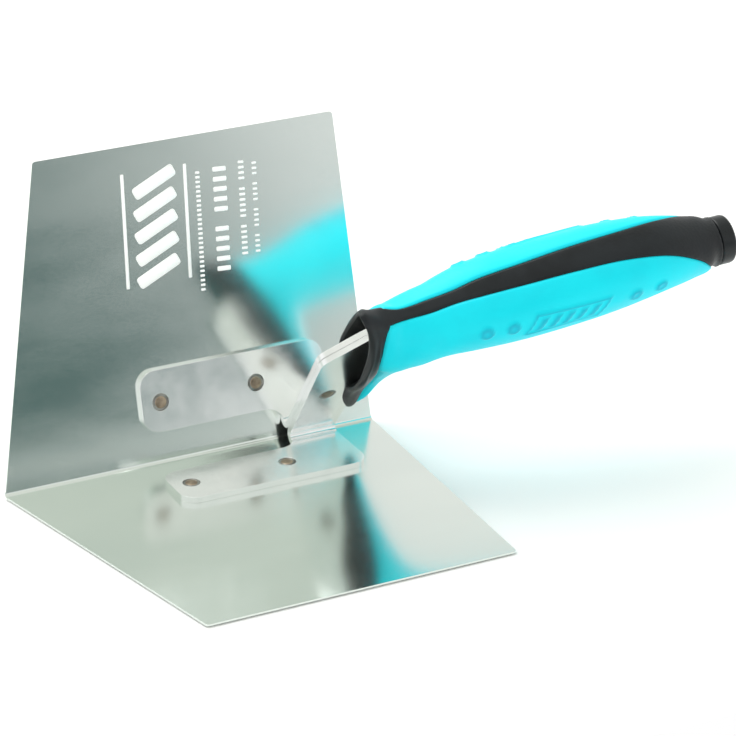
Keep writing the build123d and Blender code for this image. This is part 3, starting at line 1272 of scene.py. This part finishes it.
@dataclass
class Studio:
    """The floor, the soft light all round, the softbox and the camera.

    Args:
        aim: the point that the camera's axis passes, in metres.
        distance: how far the camera stands from it.
        azimuth_deg: its direction round the tool.
        elevation_deg: its height above level.
        roll_deg: its turn about its own axis.
        lens: focal length on a 36 mm sensor.
        shift: sideways and upward shift of the frame.
        floor_half: half of the floor's width.
        floor_front: y of the floor's front edge.
        flag_deg: direction of the dark flag's right edge, round from the front.
        flag_slant: how far that edge slants.
        white: colour of the surround near level.
        grey: its colour higher up.
        flag: the flag's colour.
        box_at: place of the softbox, in metres.
        box_size: its width, in metres.
        box_power: its power, in watts.
    """

    aim: tuple[float, float, float] = (-0.003801, 0.017364, 0.029867)
    distance: float = 1.03102
    azimuth_deg: float = -27.03
    elevation_deg: float = 24.705
    roll_deg: float = 0.2655
    lens: float = 160.843
    shift: tuple[float, float] = (0.01739, 0.00405)
    floor_half: float = 2.5
    floor_front: float = -0.17
    flag_deg: float = 23.3
    flag_slant: float = 0.33
    white: tuple[float, ...] = (1.0, 1.0, 1.0, 1.0)
    grey: tuple[float, ...] = (0.80, 0.82, 0.77, 1.0)
    flag: tuple[float, ...] = (0.0, 0.07, 0.065, 1.0)
    box_at: tuple[float, float, float] = (-0.3, 0.9, 1.4)
    box_size: float = 1.4
    box_power: float = 18.0

    def camera(self) -> None:
        """Sets up the camera."""
        data = bpy.data.cameras.new("camera")
        camera = bpy.data.objects.new("camera", data)
        bpy.context.scene.collection.objects.link(camera)
        data.lens = self.lens
        data.sensor_width = 36.0
        data.shift_x, data.shift_y = self.shift
        data.clip_start, data.clip_end = 0.05, 20.0
        azimuth, rise = math.radians(self.azimuth_deg), math.radians(self.elevation_deg)
        level = math.cos(rise)
        back = Vector((math.sin(azimuth) * level, -math.cos(azimuth) * level, math.sin(rise)))
        turn = (-back).to_track_quat("-Z", "Y").to_matrix().to_4x4()
        roll = Matrix.Rotation(math.radians(self.roll_deg), 4, "Z")
        at = Vector(self.aim) + back * self.distance
        camera.matrix_world = Matrix.Translation(at) @ turn @ roll
        bpy.context.scene.camera = camera

    def floor(self) -> None:
        """Lays a pale floor whose front edge is just in front of the tool."""
        work = bmesh.new()
        bmesh.ops.create_grid(work, x_segments=24, y_segments=24, size=self.floor_half)
        place = (0.0, self.floor_front + self.floor_half, -0.0004)
        bmesh.ops.translate(work, vec=place, verts=work.verts)
        mesh = bpy.data.meshes.new("floor")
        work.to_mesh(mesh)
        work.free()
        finish = Finish(
            "floor_paper",
            light=(0.97, 0.97, 0.97),
            dark=(0.955, 0.955, 0.955),
            rough=(0.85, 0.95),
            grain=600.0,
            cloud=3.0,
            bump=0.02,
            specular=0.1,
        )
        mesh.materials.append(finish.build())
        floor = bpy.data.objects.new("floor", mesh)
        bpy.context.scene.collection.objects.link(floor)

    def world(self) -> None:
        """Sets a white surround with one dark flag in front of the tool."""
        world = bpy.data.worlds.new("studio")
        bpy.context.scene.world = world
        world.use_nodes = True
        hand = Wiring(world.node_tree)
        sky = world.node_tree.nodes["Background"]
        way = hand.add("ShaderNodeTexCoord").outputs["Generated"]

        def along(*direction: float) -> bpy.types.NodeSocket:
            """Gives how far the looked-at direction leans towards this one."""
            node = hand.add(
                "ShaderNodeVectorMath", operation="DOT_PRODUCT", in_0=way, in_1=direction
            )
            return node.outputs["Value"]

        turn = math.radians(self.flag_deg)
        edge = along(math.cos(turn), math.sin(turn), self.flag_slant)
        upright = along(0.0, 0.0, 1.0)
        share = hand.ramp(edge, -0.024, 0.02, 1.0, 0.0)
        for limit in (
            hand.ramp(edge, -0.62, -0.40),
            hand.ramp(along(0.0, -1.0, 0.0), 0.2, 0.5),
            hand.ramp(upright, 0.06, 0.42, 1.0, 0.0),
            hand.ramp(upright, -0.17, -0.13),
        ):
            share = hand.math("MULTIPLY", share, limit)
        open_sky = hand.blend(hand.ramp(upright, 0.3, 0.6), self.white, self.grey)
        colour = hand.blend(share, open_sky, self.flag)
        hand.feed(sky.inputs["Color"], colour)
        sky.inputs["Strength"].default_value = 1.0

    def softbox(self) -> None:
        """Hangs a softbox above and behind, which faces the tool."""
        data = bpy.data.lights.new("overhead", "AREA")
        data.shape = "SQUARE"
        data.size = self.box_size
        data.energy = self.box_power
        box = bpy.data.objects.new("overhead", data)
        bpy.context.scene.collection.objects.link(box)
        box.location = self.box_at
        box.rotation_mode = "QUATERNION"
        box.rotation_quaternion = (-Vector(self.box_at)).to_track_quat("-Z", "Y")

    def build(self) -> None:
        """Sets up everything that isn't the tool."""
        self.camera()
        self.floor()
        self.world()
        self.softbox()
        bpy.context.scene.view_settings.view_transform = "Standard"
        bpy.context.scene.view_settings.look = "None"


def main() -> None:
    """Builds the tool, then the studio; each piece logs its face count as it is made."""
    logging.basicConfig(level=logging.INFO, format="%(name)s %(message)s")
    PressedPart("blade", BLADE_STEEL, Slot.BLADE, edge=0.12, segments=2).build()
    BladeMarks().build()
    Bracket().build()
    Handle(HandleForm(NOSE_RINGS, STATIONS, STRIPE)).build()
    Studio().build()
    bpy.context.view_layer.update()


if __name__ == "__main__":
    main()
